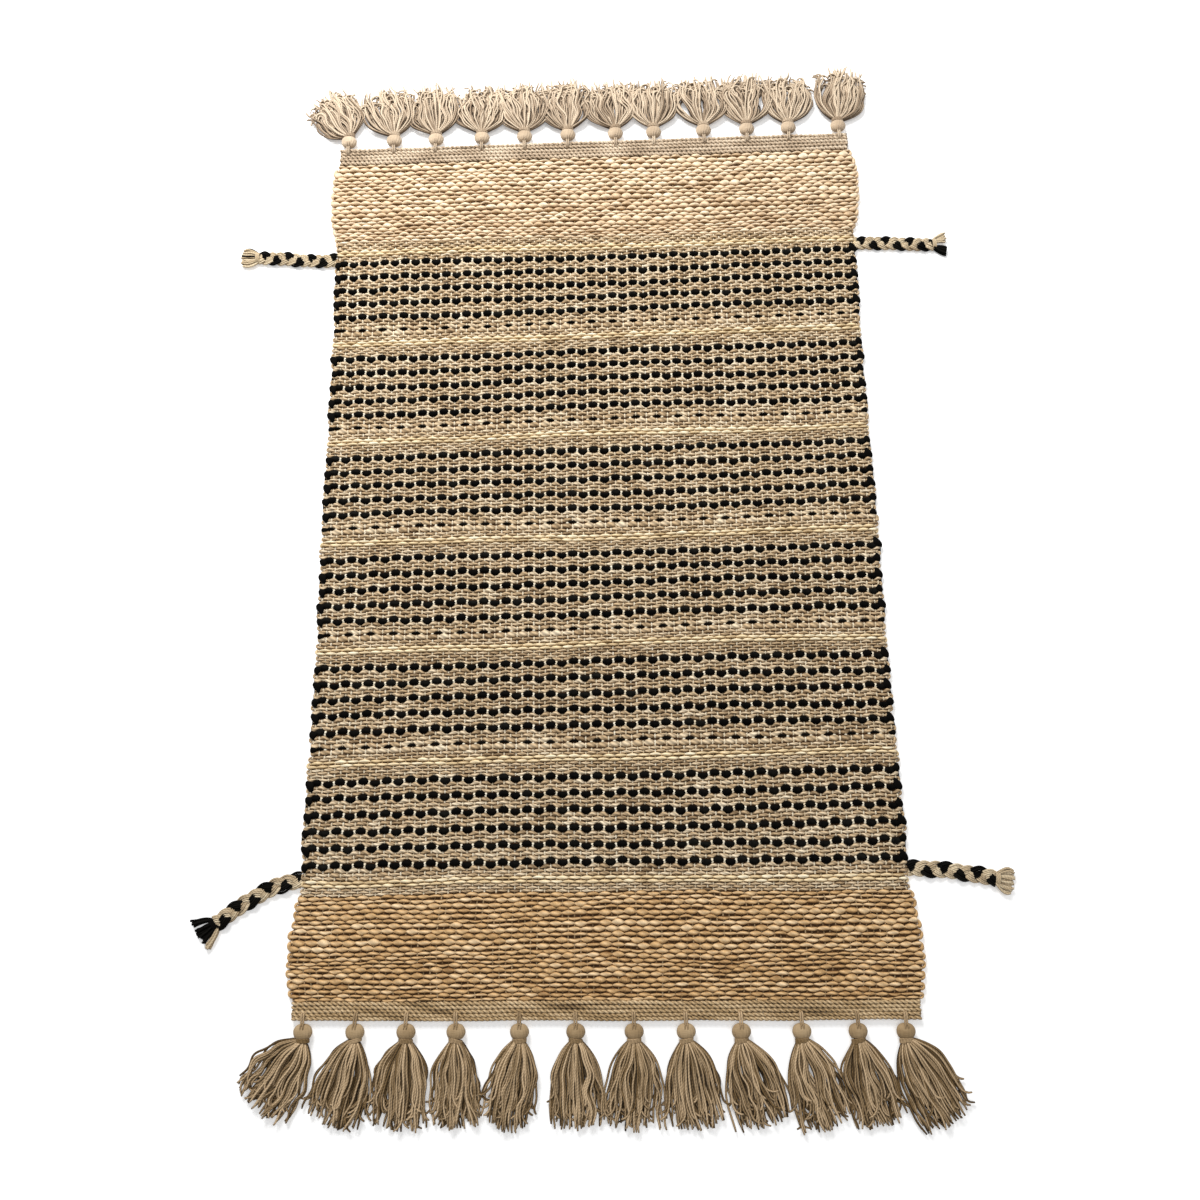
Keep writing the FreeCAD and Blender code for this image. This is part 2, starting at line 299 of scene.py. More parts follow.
def color_ramp(tree, shade, colors):
    ramp = new_node(tree, "ShaderNodeValToRGB", {0: shade})
    stops = ramp.color_ramp.elements
    stops[0].position, stops[0].color = 0.0, (*colors[0], 1)
    stops[1].position, stops[1].color = 1.0, (*colors[-1], 1)
    for i, color in enumerate(colors[1:-1], 1):
        stops.new(i / (len(colors) - 1)).color = (*color, 1)
    return ramp.outputs[0]


def yarn_material(name, colors, lay, plies, groove=0.7, fibre=0.5, blotch=0.3, sheen=0.25,
                  roughness=0.85, bump=0.35, specular=0.25):
    """A twisted yarn. colors run from its darkest fibres to its lightest. Its colour is painted darker in
    the grooves between its plies, down to groove times its own: painted shade.
    """
    material = bpy.data.materials.new(name)
    material.use_nodes = True
    tree = material.node_tree
    tree.nodes.clear()
    crown, yarn = ply_pattern(tree, lay, plies)
    stretch = new_node(tree, "ShaderNodeMapping", {0: yarn, "Scale": FIBRE_STRETCH})
    fibres = noise_node(tree, stretch.outputs[0], 1.0, 3.0)
    place = new_node(tree, "ShaderNodeTexCoord").outputs["Object"]
    patches = noise_node(tree, place, BLOTCH_SCALE, 2.0)
    tone = new_node(tree, "ShaderNodeAttribute", attribute_name="tone").outputs["Fac"]
    shade = add_noise(tree, patches, blotch, add_noise(tree, fibres, fibre, tone))
    # painted shade: the colour is scaled down in the grooves between the plies
    ply_groove_shade = math_node(tree, "MULTIPLY_ADD", crown, 1 - groove, groove)
    inputs = {0: color_ramp(tree, shade, colors), "Scale": ply_groove_shade}
    color = new_node(tree, "ShaderNodeVectorMath", inputs, operation="SCALE")
    height = math_node(tree, "MULTIPLY_ADD", fibres, FIBRE_RELIEF, crown)
    inputs = {"Strength": bump, "Distance": BUMP_DISTANCE, "Height": height}
    relief = new_node(tree, "ShaderNodeBump", inputs)
    rough = math_node(tree, "MULTIPLY_ADD", fibres, ROUGHNESS_RANGE, roughness - ROUGHNESS_DROP)
    shader = new_node(tree, "ShaderNodeBsdfPrincipled", {
        "Base Color": color.outputs[0],
        "Normal": relief.outputs[0],
        "Roughness": rough,
        "Sheen Weight": sheen,
        "Sheen Roughness": SHEEN_ROUGHNESS,
        "Specular IOR Level": specular,
    })
    new_node(tree, "ShaderNodeOutputMaterial", {0: shader.outputs[0]})
    return material


COTTON = {"lay": 3.0, "plies": 2, "sheen": 0.05}
HEADER_COTTON = {"lay": 3.5, "plies": 2, "sheen": 0.08}
HEAD_COTTON = {"lay": 40, "plies": 1, "groove": 1, "blotch": 0.6, "bump": 1.0}
JUTE = {"lay": 9.0, "plies": 2, "bump": 0.6, "fibre": 0.7, "sheen": 0.05}
BAND_JUTE = {**JUTE, "roughness": 0.55, "specular": 0.18}

GROUND = yarn_material(
    "ground_cotton", ((0.13, 0.065, 0.02), (0.62, 0.44, 0.25), (0.93, 0.78, 0.56)),
    lay=7.0, plies=3, groove=0.5, sheen=0.08, bump=0.8)
WARP = yarn_material(
    "warp_cotton", ((0.13, 0.065, 0.02), (0.50, 0.36, 0.20), (0.82, 0.70, 0.50), (0.93, 0.85, 0.68)),
    lay=2.4, plies=2, sheen=0.08)
BLACK = yarn_material(
    "black_cotton", ((0.0008, 0.0008, 0.0006), (0.0025, 0.002, 0.0015), (0.008, 0.0075, 0.006)),
    lay=6.0, plies=3, sheen=0.0, specular=0.06)
STRIPE = yarn_material(
    "stripe_jute", ((0.26, 0.14, 0.04), (0.87, 0.67, 0.39), (0.96, 0.87, 0.65)),
    groove=0.75, roughness=0.5, **JUTE)
# Each end has its own copy, the far one paler than the near one: partly the jute's own colour, partly
# painted light at the far end and painted shade at the near end.
BAND = {
    "far": yarn_material(
        "band_jute_far", ((0.32, 0.18, 0.07), (0.80, 0.59, 0.375), (0.97, 0.87, 0.65)),
        groove=0.75, **BAND_JUTE),
    "near": yarn_material(
        "band_jute_near", ((0.16, 0.062, 0.01), (0.65, 0.405, 0.18), (0.92, 0.71, 0.45)), **BAND_JUTE),
}
# the far copy paler than the near one: partly the cotton's own colour, partly painted light at the far end
# and painted shade at the near end
HEADER = {
    "far": yarn_material(
        "header_cotton_far", ((0.07, 0.04, 0.016), (0.48, 0.355, 0.235), (0.74, 0.61, 0.45)),
        **HEADER_COTTON),
    "near": yarn_material(
        "header_cotton_near", ((0.05, 0.023, 0.006), (0.45, 0.30, 0.145), (0.70, 0.53, 0.32)),
        **HEADER_COTTON),
}
# the far copy paler than the near one: partly the cotton's own colour, partly painted light at the far end
# and painted shade at the near end
TASSEL = {
    "far": yarn_material(
        "tassel_cotton_far", ((0.03, 0.014, 0.004), (0.35, 0.25, 0.163), (0.72, 0.58, 0.42)), **COTTON),
    "near": yarn_material(
        "tassel_cotton_near", ((0.007, 0.002, 0.0003), (0.185, 0.113, 0.045), (0.64, 0.465, 0.28)),
        specular=0.15, **COTTON),
}
# the far copy paler than the near one: partly the cotton's own colour, partly painted light at the far end
# and painted shade at the near end
TASSEL_HEAD = {
    "far": yarn_material(
        "tassel_head_far", ((0.26, 0.18, 0.11), (0.47, 0.355, 0.24), (0.72, 0.58, 0.42)), **HEAD_COTTON),
    "near": yarn_material(
        "tassel_head_near", ((0.15, 0.09, 0.035), (0.34, 0.235, 0.125), (0.50, 0.37, 0.22)),
        sheen=0.1, **HEAD_COTTON),
}
BRAID = yarn_material(
    "braid_cotton", ((0.20, 0.125, 0.055), (0.54, 0.41, 0.25), (0.80, 0.67, 0.46)), lay=3.0, plies=2)
# the colour of a dark sheet: painted shade in the gaps between the yarns
GAP_SHADE = yarn_material(
    "painted_gap_shade", ((0.03, 0.012, 0.002), (0.06, 0.026, 0.007), (0.10, 0.05, 0.015)),
    lay=8.0, plies=1, sheen=0.0)


# -------- plaited cords

BRAID_HEIGHT = 7.0
BRAID_GAP = 0.9  # between the plait's root and the cloth
BRAID_LIFT = 0.2  # under the plait
BRAID_ROUTES = {
    "far_left": ((0, 336.5), (22, 335.5), (45, 337.5), (68, 340.0), (90, 340.5)),
    "far_right": ((0, 351.0), (23, 351.0), (46, 350.0), (69, 348.5), (91, 348.5)),
    "near_left": ((0, -358.0), (16, -359.5), (36, -368.0), (59, -381.5), (82, -398.0)),
    "near_right": ((0, -354.0), (21, -354.5), (43, -357.0), (66, -360.5), (87.5, -365.0)),
}
PLAIT_PERIOD = {"far_left": 27.0, "far_right": 28.0, "near_left": 34.0, "near_right": 33.0}
PLAIT_START = {"far_left": 0.4, "far_right": 2.2, "near_left": 1.0, "near_right": 3.4}
PLAIT_STEP = 1.1  # between a strand's points
PLAIT_SWING = 3.8  # how far a strand swings to each side
PLAIT_LIFT = 1.75  # how far it passes over and under the others
# how much darker a cord's flanks are painted: painted shade between the cords
PLAIT_PAINTED_SHADE = 0.8
STRAND_CORDS = 5
STRAND_CORD_GAP = 1.7
STRAND_CORD_HALF = 1.15
STRAND_CORD_FLATNESS = 0.9
STRAND_WANDER = 0.3  # how far a cord strays
STRAND_CROWN = 0.2  # how much lower a cord lies per mm from its strand's middle
BLACK_SPREAD = 1.2  # the black strand is wider than the beige ones
BLACK_LIFT = 0.55  # and stands higher


def route_points(corner):
    """A plait's bend points, as in the CAD source."""
    side = 1 if corner.endswith("right") else -1
    z = BRAID_LIFT + BRAID_HEIGHT / 2
    root_x = float(waisted(BRAID_ROUTES[corner][0][1])) + BRAID_GAP
    return [(side * (root_x + out), y, z) for out, y in BRAID_ROUTES[corner]]


def smooth_line(points):
    """Points along the smooth curve that has these control points."""
    data = bpy.data.curves.new("route", "CURVE")
    data.dimensions = "3D"
    data.resolution_u = 24
    spline = data.splines.new("NURBS")
    spline.points.add(len(points) - 1)
    for point, place in zip(spline.points, points):
        point.co = (*(Vector(place) * MM), 1)
    spline.order_u = 3
    spline.use_endpoint_u = True
    route = bpy.data.objects.new("route", data)
    mesh = bpy.data.meshes.new_from_object(route)
    line = np.array([v.co for v in mesh.vertices]) / MM
    bpy.data.objects.remove(route)
    bpy.data.curves.remove(data)
    bpy.data.meshes.remove(mesh)
    return line


def spread_evenly(line, step):
    """The same line with its points an even step apart."""
    lengths = running_total(step_lengths(line))
    count = max(int(round(lengths[-1] / step)), 2)
    at = np.linspace(0, lengths[-1], count + 1)
    return np.stack([np.interp(at, lengths, line[:, i]) for i in range(3)], -1), at


def plait_strand(line, at, corner, strand):
    """The middle of one of the three strands, and which way is across it."""
    across = np.cross(unit(np.gradient(line, axis=0)), (0, 0, 1))
    phase = TURN * (at / PLAIT_PERIOD[corner] + strand / 3) + PLAIT_START[corner]
    swing = PLAIT_SWING * np.sin(phase)
    lift = PLAIT_LIFT * np.sin(2 * phase)
    middle = line + across * swing[:, None]
    middle[:, 2] += lift
    return middle, unit(np.cross(np.gradient(middle, axis=0), (0, 0, 1)))


def add_strand(yarns, line, at, corner, strand):
    """One of a plait's three strands, as cords side by side. Strand 0 is the black one."""
    middle, beside = plait_strand(line, at, corner, strand)
    slot = 1 if strand == 0 else 0
    spread = BLACK_SPREAD if slot else 1.0
    lift = BLACK_LIFT if slot else 0.0
    half = STRAND_CORD_HALF * spread
    for cord in range(STRAND_CORDS):
        offset = (cord - (STRAND_CORDS - 1) / 2) * STRAND_CORD_GAP * spread
        wander = STRAND_WANDER * np.sin(at / rng.uniform(5, 9) + rng.uniform(0, 6))
        path = middle + beside * (offset + wander)[:, None]
        path[:, 2] += rng.uniform(-STRAND_WANDER, STRAND_WANDER) - STRAND_CROWN * abs(offset) + lift
        tone = rng.uniform(0.35, 0.75) + 0.1 * np.sin(at / 7 + strand)
        yarns.add(path, half * STRAND_CORD_FLATNESS, half, tone, slot=slot, recess=PLAIT_PAINTED_SHADE)


def make_plait(corner):
    line = smooth_line(route_points(corner))
    even, at = spread_evenly(line, PLAIT_STEP)
    yarns = Yarns()
    for strand in range(3):
        add_strand(yarns, even, at, corner, strand)
    body = f"braid_{corner}"
    return yarns.make(f"plait_{corner}", [BRAID, BLACK], body, [body], "braid_cotton"), line


WINDING_POINTS = 24  # in a turn
WINDING_TONES = (0.5, 0.75)


def make_windings(yarns, centre, ahead, turns, half_w, half_h, cord, pitch, tilt=0.0, slot=0):
    """A cord wound round a flat bundle, from centre on along ahead."""
    ahead = np.asarray(ahead, float)
    across = np.cross(ahead, (0, 0, 1))
    angle = np.linspace(0, TURN * turns, int(WINDING_POINTS * turns) + 1)
    line = np.asarray(centre, float) + np.outer(angle / TURN * pitch, ahead)
    line += np.outer(half_w * np.cos(angle), across) + np.outer(tilt * np.cos(angle), ahead)
    line[:, 2] += half_h * np.sin(angle)
    yarns.add(line, cord, cord, rng.uniform(*WINDING_TONES), sides=7, up=ahead, slot=slot)


TUFTS = {
    # for each lobe, where it starts and ends beside the plait's middle, and its black share
    "far_left": ((-11, 13, 0.2),),
    "far_right": ((-15, -3, 0.0), (3, 15, 0.95)),
    "near_left": ((-15.5, -12, 0.0), (-10, -2, 1.0), (-2, 7, 1.0), (10, 16, 1.0)),
    "near_right": ((-12, 12, 0.0),),
}
BLACK_TIE = "near_left"  # the corner whose tie and tuft are black
TIE_HALF = (5.6, 3.1)  # across and up
TIE_TURNS = 3
TIE_CORD = 0.9
TIE_PITCH = 1.5
TIE_TILT = 0.5
TIE_SET_BACK = 0.4  # from the plait's end
TIE_LIFT = 0.4  # over its middle
TUFT_REACH = {"far_left": 20.0, "far_right": 16.0, "near_left": 20.0, "near_right": 18.0}
TUFT_ENDS = 36
TUFT_END_HALF = (1.2, 1.0)  # across and up
TUFT_ROOT_HALF = 4.6
TUFT_LEVEL = 3.6
TUFT_DEPTH = 2.2  # how far its ends lie over and under that
TUFT_POINTS = 14


def tuft_end(corner, low, high, share):
    """One loose end, from the tie to its tip, as (ahead, across, up)."""
    spread = low + (high - low) * share + rng.normal(0, 0.8)
    level = rng.uniform(-1, 1)
    reach = TUFT_REACH[corner] * rng.uniform(0.86, 1.05)
    t = np.linspace(0, 1, TUFT_POINTS)
    if len(TUFTS[corner]) > 1:
        lateral = spread * (0.3 + 0.7 * t**0.7)
    else:
        root = TUFT_ROOT_HALF * (2 * (spread - low) / (high - low) - 1)
        lateral = (root * (1 - t) + spread * t**0.8) * (1 + 0.25 * np.sin(math.pi * t) - 0.1 * t)
    lateral = lateral + 0.5 * np.sin(t * rng.uniform(4, 9) + rng.uniform(0, 6)) * t
    up = TUFT_LEVEL + level * TUFT_DEPTH * (1 - 0.3 * t) - 0.6 * t
    return t * reach * math.cos(0.5 * spread / 20), lateral, up


def make_tuft_yarns(corner, line):
    """The tie round the plait's end and the loose ends past it."""
    forward = unit(line[-1] - line[-4])
    sideways = np.cross(forward, (0, 0, 1))
    end = np.array(line[-1])
    end[2] = BRAID_HEIGHT / 2 + TIE_LIFT
    yarns = Yarns()
    tie_slot = 1 if corner == BLACK_TIE else 0
    tie_start = end - forward * TIE_SET_BACK
    make_windings(yarns, tie_start, forward, TIE_TURNS, *TIE_HALF, TIE_CORD, TIE_PITCH, TIE_TILT, tie_slot)
    for low, high, black_share in TUFTS[corner]:
        count = TUFT_ENDS // len(TUFTS[corner])
        for i in range(count):
            ahead, across, up = tuft_end(corner, low, high, (i + 0.5) / count)
            path = end + np.outer(ahead, forward) + np.outer(across, sideways)
            path[:, 2] = up
            slot = 1 if rng.uniform() < black_share else 0
            yarns.add(path, *TUFT_END_HALF, rng.uniform(0.3, 0.8), slot=slot, recess=PLAIT_PAINTED_SHADE)
    slot_name = "black_cotton" if tie_slot else "braid_cotton"
    node = f"tuft_{corner}"
    return yarns.make(f"loose_ends_{corner}", [BRAID, BLACK], f"braid_{corner}", [node], slot_name)


def make_braids():
    for corner in BRAID_ROUTES:
        plait, line = make_plait(corner)
        loose = make_tuft_yarns(corner, line)


make_braids()


# -------- the cloth's picks

THICKNESS = {"header": 8.0, "band": 6.8, "stripe": 7.2, "ground": 6.6, "black": 7.6}
NOTCH = {"band": 2.3, "stripe": 2.5, "ground": 3.0, "black": 3.4}  # how deep a warp thread presses
FULLNESS = {"band": 0.8, "stripe": 0.7, "ground": 0.9, "black": 0.4}  # less is a longer float
WIDTHS = {"band": (0.38, 1.0), "stripe": (0.45, 1.0), "ground": (0.45, 1.06)}  # at a warp thread, midway
# how much darker each kind's flanks are painted: painted shade between the picks
PAINTED_SHADE = {"band": 0.75, "stripe": 0.7, "ground": 0.6, "black": 0.1}
SHIFT = {"band": 0.55, "stripe": 0.25, "ground": 0.22, "black": 0.15}  # how far a bead strays, mm
SWELL = {"band": 0.18, "stripe": 0.12, "ground": 0.10, "black": 0.06}  # how much fatter one is
PINCH = 1.3  # how far the ground closes in on a black row at a warp thread
ZIGZAG = 1.3  # how far the dots of a black row stand up and down in turn
FIRST_EDGE = (2, 3.375)  # the ground picks between the first stripe and block, and their size
LAST_EDGES = ((3, 3.5), (3, 2.8))  # those before and after the last stripe
BEATING = (0.75, 1.3)  # the size of a band's picks next to their mean
PATCH_SIZES = (6.4, 5.2)  # half the length of a black patch at the long edge
PATCH_REACH = 1.6  # past the outermost warp thread
PATCH_LENGTH = 5.6
PATCH_WIDEST = 0.6  # of its length
PATCH_LEVEL = 4.7
PATCH_HALF_HEIGHT = 3.3
LAST_ROW_SIZE = 0.42  # the last row of a block is beaten up thin
LAST_ROW_ROOM = (0.35, 0.65)  # how the picks above and below it share the room it leaves
LAST_ROW_DOTS = (0.95, 0.06)  # every second dot hardly shows
LAST_ROW_DROP = (1.0, 4.0)
LAST_ROW_PATCH = 0.62
BEAD_POINTS = (-0.3, 0.0, 0.3, 0.5)  # from a warp thread, as a share of the way to the next
BLACK_POINTS = (-0.36, -0.24, -0.12, 0.0, 0.12, 0.24, 0.36, 0.5)
PROUD_PICKS = ((2.5, 5.0, 8.0), (-0.3, 0.0, 0.9))  # how proud a band pick of each size stands
TONE_SIZES = {  # of a pick's own tone, its drift along the pick and each bead's own
    "band": (0.06, 0.05, 0.10), "stripe": (0.04, 0.06, 0.16), "ground": (0.03, 0.05, 0.15),
    "black": (0.1, 0.1, 0.2)}
SLUBS_A_PICK = 2.2
SLUB_SHARE = {"band": 1.0, "stripe": 0.4}  # of a slub's full size
SLUB_REACH = 300.0
ZIGZAG_SHARES = ((-2, 0.35), (-1, 1.0), (0, 1.0), (1, 0.35))  # for the rows round a boundary
WAVE = {"band": 0.8, "field": 0.5}  # how far the picks wave
WAVE_FADE = 20.0  # the distance from a header where they start to
FREE_TURN = (0.6, 0.0)  # how far a turn reaches past the long edge, and its lift
PASSING_TURN = (0.4, -1.6)  # one that passes a black row
BLACK_TURN = (0.2, -1.4)
FREE_TURN_HALF = 0.38  # of its pick's size
PASSING_TURN_HALF = 1.2
BLACK_TURN_HALF = 1.5
TURN_INSET = 1.5
TURN_TALLNESS = 1.35

GENTLE = SmoothNoise(90, 60)
RIPPLE = SmoothNoise(28, 9)
LIFT = SmoothNoise(110, 110)
EDGE_WOBBLE = SmoothNoise(1e6, 9)
TONE_NOISE = SmoothNoise(7, 2.2)


def pick_plan():
    """Every pick from the far edge to the near one: (node, kind, size along the rug)."""
    plan = []

    def run(node, kind, count, size):
        plan.extend([(node, kind, size)] * count)

    run("jute_band_far", "band", BAND_PICKS, BAND_SIZE["far"] / BAND_PICKS)
    for i in range(1, BLOCKS + 2):
        before, after = (3, STRIPE_PICK), (4, STRIPE_PICK)
        if i == 1:
            after = FIRST_EDGE
        if i == BLOCKS + 1:
            before, after = LAST_EDGES
        run(f"ground_weft_{max(i - 1, 1)}", "ground", *before)
        run(f"jute_stripe_{i}", "stripe", 2, JUTE_STRIPE_PICK)
        run(f"ground_weft_{min(i, BLOCKS)}", "ground", *after)
        if i > BLOCKS:
            break
        for row in range(ROWS):
            if row:
                run(f"ground_weft_{i}", "ground", GROUND_PICKS, GROUND_PICK)
            run(f"black_weft_{i}", "black", 1, BLACK_PICK)
    run("jute_band_near", "band", BAND_PICKS, BAND_SIZE["near"] / BAND_PICKS)
    return plan


def pick_levels(plan):
    """The boundary levels between picks, uneven as hand-beaten picks are."""
    sizes = np.array([size for _, _, size in plan])
    for i, (_, kind, _) in enumerate(plan):
        if kind == "band":
            sizes[i] *= rng.uniform(*BEATING)
    for low in (0, len(plan) - BAND_PICKS):
        high = low + BAND_PICKS
        sizes[low:high] *= sum(size for _, _, size in plan[low:high]) / sizes[low:high].sum()
    for i in range(len(plan)):
        if is_last_row(plan, i):
            spare = sizes[i] * (1 - LAST_ROW_SIZE)
            sizes[i] -= spare
            sizes[i - 1] += spare * LAST_ROW_ROOM[0]
            sizes[i + 1] += spare * LAST_ROW_ROOM[1]
    top = FAR_EDGE - HEADER_ROWS * HEADER_ROW["far"]
    return top - running_total(sizes)


def is_last_row(plan, i):
    """Whether pick i is the last black row of its block."""
    node, kind, _ = plan[i]
    last_block = node == f"black_weft_{BLOCKS}"
    return kind == "black" and not last_block and not any(n == node for n, _, _ in plan[i + 1 :])


def crowns(x, parity):
    """1 where this pick floats over a warp thread, 0 where the thread passes over it."""
    return np.abs(np.cos(math.pi / 2 * (x / WARP_PITCH + parity)))


def make_slubs(plan):
    """Where the jute yarn is fat: for each of its picks, (x, length, how much fatter)."""
    slubs = {}
    for i, (_, kind, _) in enumerate(plan):
        for _ in range(rng.poisson(SLUBS_A_PICK)):
            x, length = rng.uniform(-SLUB_REACH, SLUB_REACH), rng.uniform(6, 16)
            size = rng.uniform(0.3, 1.1)
            if kind in SLUB_SHARE:
                slubs.setdefault(i, []).append((x, length, size * SLUB_SHARE[kind]))
    return slubs


class Weft:
    """The picks' places: level(i, x) is the boundary above pick i, wavy along x."""

    def __init__(self, plan):
        self.plan = plan
        self.levels = pick_levels(plan)
        self.slubs = make_slubs(plan)

    def zigzag(self, i, x):
        """How far the dots of a black row push boundary i up or down, and let it in between them."""
        move = 0.0
        for step, share in ZIGZAG_SHARES:
            row = i + step
            if 0 <= row < len(self.plan) and self.plan[row][1] == "black":
                crown = crowns(x, row % 2)
                turn = dot_turn(x, row % 2)
                if is_last_row(self.plan, row):
                    crown = crown * (turn > 0)
                inward = -1 if row >= i else 1
                move = move + share * ZIGZAG * turn * crown**0.8
                move = move + share * PINCH * inward * (1 - crown)
        return move

    def level(self, i, x):
        y = self.levels[i]
        fade = np.clip(min(self.levels[0] - y, y - self.levels[-1]) / WAVE_FADE, 0.15, 1)
        in_band = any(low <= y <= low + size for low, size in BAND_SPANS)
        move = RIPPLE(x, y) * WAVE["band" if in_band else "field"] * fade
        for pick, sign in ((i, 1), (i - 1, -1)):
            for place, length, size in self.slubs.get(pick, ()):
                move = move + sign * size * 0.5 * np.exp(-(((x - place) / length) ** 2))
        return y + move + self.zigzag(i, x)


def dot_turn(x, parity):
    """1 for the dots of a black row that stand up, -1 for those between them."""
    return np.where(np.round((x / WARP_PITCH + parity) / 2).astype(int) % 2 == 0, 1, -1)


def all_threads():
    return np.arange(-(WARP_THREADS // 2), WARP_THREADS // 2 + 1)


def sample_x(half, kind):
    """Places along a pick: on each warp thread, beside it, and midway to the next."""
    offsets = np.array(BLACK_POINTS if kind == "black" else BEAD_POINTS)
    x = ((all_threads()[:, None] + offsets) * WARP_PITCH).ravel()
    return x[np.abs(x) < half]


def bead_noise(x, parity):
    """One random value, about 1 in size, for each bead of a pick."""
    bead = np.round((x / WARP_PITCH + parity) / 2).astype(int)
    return rng.normal(0, 1, bead.max() - bead.min() + 1)[bead - bead.min()].clip(-2, 2)


def pick_tone(i, kind, x, parity):
    """Colour along a pick: each pick's own, a drift along it, and each bead's own."""
    own = bead_noise(x, parity)
    pick_size, drift_size, bead_size = TONE_SIZES[kind]
    return 0.5 + pick_size * rng.normal() + drift_size * TONE_NOISE(x / 2, i * 3.0) + bead_size * own


def warp_scale(y):
    """How far the warp threads spread with the cloth's width at level y."""
    return half_width(y) / WAIST_HALF_WIDTH


def lay_pick(weft, i, yarns):
    """One pick from edge to edge, with its beads between the warp threads."""
    _, kind, _ = weft.plan[i]
    parity = i % 2
    last = is_last_row(weft.plan, i)
    x = sample_x(WARP_REACH, kind)
    above, below = weft.level(i, x), weft.level(i + 1, x)
    crown = crowns(x, parity)
    back = crowns(x, parity + 1)
    full, back_full = crown ** FULLNESS[kind], back ** FULLNESS[kind]
    size = above - below
    y = (above + below) / 2 + SHIFT[kind] * bead_noise(x, parity) * crown
    if kind != "black":
        slim, wide = WIDTHS[kind]
        half_w = 0.5 * size * (slim + (wide - slim) * full)
    else:
        half_w = 0.5 * BLACK_PICK * (LAST_ROW_SIZE if last else 1) * (0.08 + 0.9 * crown**0.65)
    proud = np.interp(size, *PROUD_PICKS) if kind == "band" else 0.0
    top = THICKNESS[kind] + proud - NOTCH[kind] * (1 - full)
    if last:
        stands_up = dot_turn(x, parity) > 0
        half_w = half_w * np.where(stands_up, *LAST_ROW_DOTS)
        top = top - np.where(stands_up, *LAST_ROW_DROP)
    half_w = half_w * (1 + SWELL[kind] * bead_noise(x, parity) * crown)
    bottom = NOTCH[kind] * (1 - back_full)
    spread = warp_scale(y)
    line = np.stack([x * spread, y + rise(y) * x * spread, (top + bottom) / 2], -1)
    tone = pick_tone(i, kind, x, parity)
    yarns.add(line, half_w, (top - bottom) / 2, tone, recess=PAINTED_SHADE[kind])
    if kind == "black":
        lay_row_ends(line, LAST_ROW_PATCH if last else 1.0, i, yarns)


def lay_row_ends(line, share, i, yarns):
    """The fat black patch at each end of a row, where the yarn bends over the long edge."""
    for side in (-1, 1):
        start = line[0] if side < 0 else line[-1]
        size = PATCH_SIZES[(i // (GROUND_PICKS + 1) + (side > 0)) % 2] * rng.uniform(0.9, 1.1) * share
        t = np.linspace(0, 1, 15)
        x = start[0] + side * (-PATCH_LENGTH + (PATCH_REACH + PATCH_LENGTH) * t)
        y = start[1] + rise(start[1]) * (x - start[0]) + side * (size - 2.6) * 0.75 * t**1.5
        z = PATCH_LEVEL - 0.5 * t**2
        closing = np.sqrt(1 - 0.9 * ((t - PATCH_WIDEST) / (1 - PATCH_WIDEST)).clip(0, 1) ** 2)
        half = size * (0.3 + 0.7 * np.sin(math.pi / 2 * (t / PATCH_WIDEST).clip(0, 1))) * closing
        height = (PATCH_HALF_HEIGHT - 0.3 * t**2) * closing
        yarns.add(np.stack([x, y, z], -1), half, height, sides=14)


def lay_turn(weft, i, j, side, shape, half, yarns, tone=0.5):
    """The yarn's way round the long edge, from pick i to pick j. shape is its reach and lift."""
    reach, lift = shape
    start, end = [(weft.levels[pick] + weft.levels[pick + 1]) / 2 for pick in (i, j)]
    t = np.linspace(0, math.pi, 9)
    y = start + (end - start) * (1 - np.cos(t)) / 2
    start_x = WARP_REACH * warp_scale(y) - TURN_INSET
    x = side * (start_x + (reach + TURN_INSET) * np.sin(t) ** 0.6)
    z = np.full_like(t, THICKNESS["ground"] / 2 + lift)
    yarns.add(np.stack([x, y + rise(y) * x, z], -1), half, half * TURN_TALLNESS, tone)


def lay_selvedges(weft, groups):
    """Every yarn's turns at the long edges."""
    kinds = [kind for _, kind, _ in weft.plan]
    side = 1
    ground = [i for i, kind in enumerate(kinds) if kind != "black"]
    for i, j in zip(ground, ground[1:]):
        yarns = groups[weft.plan[i][0]]
        if j > i + 1:
            shape, half = PASSING_TURN, PASSING_TURN_HALF
        else:
            shape, half = FREE_TURN, FREE_TURN_HALF * (weft.levels[i] - weft.levels[i + 1])
        lay_turn(weft, i, j, side, shape, half, yarns, rng.uniform(0.4, 0.6))
        side = -side
    black = [i for i, kind in enumerate(kinds) if kind == "black"]
    side = 1
    for i, j in zip(black, black[1:]):
        if weft.plan[i][0] != weft.plan[j][0]:
            side = 1
            continue
        lay_turn(weft, i, j, side, BLACK_TURN, BLACK_TURN_HALF, groups[weft.plan[i][0]])
        side = -side


def settle(points):
    """The cloth's own unevenness: wavy edges and picks, and a soft lift off the floor."""
    x, y = points[:, 0], points[:, 1]
    inside = np.clip((FAR_EDGE - np.abs(y - rise(y) * x)) / 60, 0, 1)
    moved = points.copy()
    moved[:, 0] += 0.9 * EDGE_WOBBLE(0, y) * np.sign(x) * np.clip((np.abs(x) - 250) / 50, 0, 1) * inside
    moved[:, 1] += 0.8 * GENTLE(x, y) * inside
    moved[:, 2] += 0.5 * (LIFT(x, y) + 1).clip(0, 2.4) * inside * (points[:, 2] / 7)
    return moved


def weft_material(node):
    if node.startswith("jute_band"):
        return BAND[node.rsplit("_", 1)[1]], "band_jute"
    if node.startswith("jute_stripe"):
        return STRIPE, "stripe_jute"
    if node.startswith("ground"):
        return GROUND, "ground_cotton"
    return BLACK, "black_cotton"


